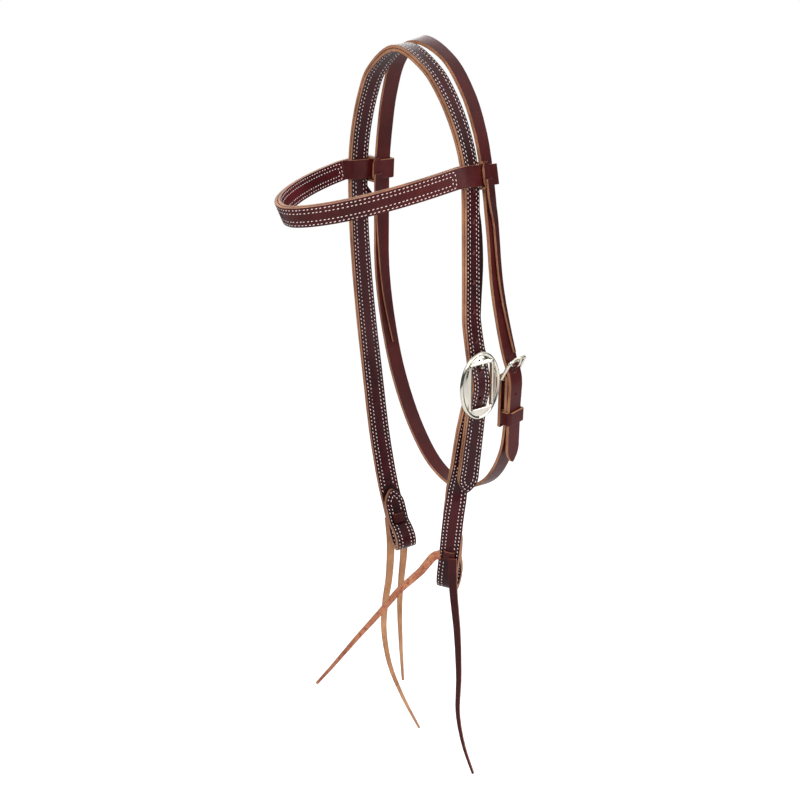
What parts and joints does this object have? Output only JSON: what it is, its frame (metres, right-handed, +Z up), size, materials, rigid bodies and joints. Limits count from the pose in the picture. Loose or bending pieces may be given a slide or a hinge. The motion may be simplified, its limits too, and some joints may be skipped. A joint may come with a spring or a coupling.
{
  "type": "western headstall",
  "caption": "Western browband headstall in doubled, stitched leather, with a cart buckle on the near cheek, a buckled throat strap, tied browband ends and laced bit loops.",
  "frame": {"origin": "underside of the crown strap at the poll, on the horse's middle plane", "axes": "+Z up, +X towards the horse's near (left) side, -Y towards the forehead"},
  "size_m": [0.1845, 0.2076, 0.679],
  "materials": {
    "burgundy_leather": "oiled burgundy latigo, satin",
    "burgundy_lace": "burgundy latigo lace, satin",
    "flesh_side_lace": "undyed flesh side of latigo, matt",
    "polished_nickel": "polished nickel plate"
  },
  "bodies": {
    "headstall": {"crown_outer_ply": "burgundy_leather", "crown_lining_ply": "burgundy_leather", "cheek_buckle": "polished_nickel", "browband_outer_ply": "burgundy_leather", "browband_lining_ply": "burgundy_leather", "near_browband_tie": "burgundy_lace", "far_browband_tie": "burgundy_lace", "throat_strap": "burgundy_leather", "far_bit_tie": "burgundy_lace"},
    "near_cheek": {"near_cheek_outer_ply": "burgundy_leather", "near_cheek_lining_ply": "burgundy_leather", "near_bit_tie": "burgundy_lace"},
    "near_bit_front_tail": {"near_bit_tie_front_tail": "flesh_side_lace"},
    "near_bit_hanging_tail": {"near_bit_tie_hanging_tail": "burgundy_lace"},
    "far_bit_front_tail": {"far_bit_tie_front_tail": "flesh_side_lace"},
    "far_bit_rear_tail": {"far_bit_tie_rear_tail": "flesh_side_lace"},
    "near_brow_outer_tail": {"near_browband_tie_outer_tail": "burgundy_lace"},
    "near_brow_inner_tail": {"near_browband_tie_inner_tail": "burgundy_lace"},
    "far_brow_outer_tail": {"far_browband_tie_outer_tail": "burgundy_lace"},
    "far_brow_inner_tail": {"far_browband_tie_inner_tail": "burgundy_lace"},
    "throat_frame": {"throat_buckle_frame": "polished_nickel"},
    "throat_tongue": {"throat_buckle_tongue": "polished_nickel"},
    "keeper": {"throat_keeper": "burgundy_leather"}
  },
  "joints": [
    {"name": "near_cheek_hinge", "type": "hinge", "parent": "headstall", "child": "near_cheek", "pos_m": [0.07121, 0.02248, -0.2791], "axis": [0.0653, 0.9954, 0.0701], "range_deg": [0, 8]},
    {"name": "throat_frame_hinge", "type": "hinge", "parent": "headstall", "child": "throat_frame", "pos_m": [0.08, 0.056, -0.27425], "axis": [-0.1189, 0.9824, 0.1443], "range_deg": [0, 5]},
    {"name": "throat_tongue_hinge", "type": "hinge", "parent": "throat_frame", "child": "throat_tongue", "pos_m": [0.08, 0.056, -0.27425], "axis": [-0.1189, 0.9824, 0.1443], "range_deg": [0, 4]},
    {"name": "keeper_slide", "type": "slide", "parent": "headstall", "child": "keeper", "axis": [-0.1482, 0.1261, -0.9809], "range_m": [-0.003, 0.004]},
    {"name": "near_bit_front_tail_hinge", "type": "hinge", "parent": "near_cheek", "child": "near_bit_front_tail", "pos_m": [0.03477, 0.01729, -0.44479], "axis": [0, 0, 1], "range_deg": [-10, 25]},
    {"name": "near_bit_hanging_tail_hinge", "type": "hinge", "parent": "near_cheek", "child": "near_bit_hanging_tail", "pos_m": [0.04677, 0.02172, -0.44662], "axis": [0.8522, 0.5087, -0.1223], "range_deg": [-40, 0]},
    {"name": "far_bit_front_tail_hinge", "type": "hinge", "parent": "headstall", "child": "far_bit_front_tail", "pos_m": [-0.04583, 0.02272, -0.4314], "axis": [-0.3055, -0.9387, -0.1598], "range_deg": [-40, 0]},
    {"name": "far_bit_rear_tail_hinge", "type": "hinge", "parent": "headstall", "child": "far_bit_rear_tail", "pos_m": [-0.0429, 0.03173, -0.42986], "axis": [-0.3055, -0.9387, -0.1598], "range_deg": [-40, 0]},
    {"name": "near_brow_outer_tail_hinge", "type": "hinge", "parent": "headstall", "child": "near_brow_outer_tail", "pos_m": [0.08236, 0.02602, -0.10199], "axis": [-0.2195, 0.9753, 0.023], "range_deg": [-30, 0]},
    {"name": "near_brow_inner_tail_hinge", "type": "hinge", "parent": "headstall", "child": "near_brow_inner_tail", "pos_m": [0.0623, 0.02156, -0.10453], "axis": [-0.2195, 0.9753, 0.023], "range_deg": [0, 25]},
    {"name": "far_brow_outer_tail_hinge", "type": "hinge", "parent": "headstall", "child": "far_brow_outer_tail", "pos_m": [-0.08535, 0.02385, -0.10181], "axis": [0.0058, 0.9988, 0.049], "range_deg": [0, 30]},
    {"name": "far_brow_inner_tail_hinge", "type": "hinge", "parent": "headstall", "child": "far_brow_inner_tail", "pos_m": [-0.06109, 0.02384, -0.10458], "axis": [0.0058, 0.9988, 0.049], "range_deg": [-25, 0]}
  ]
}
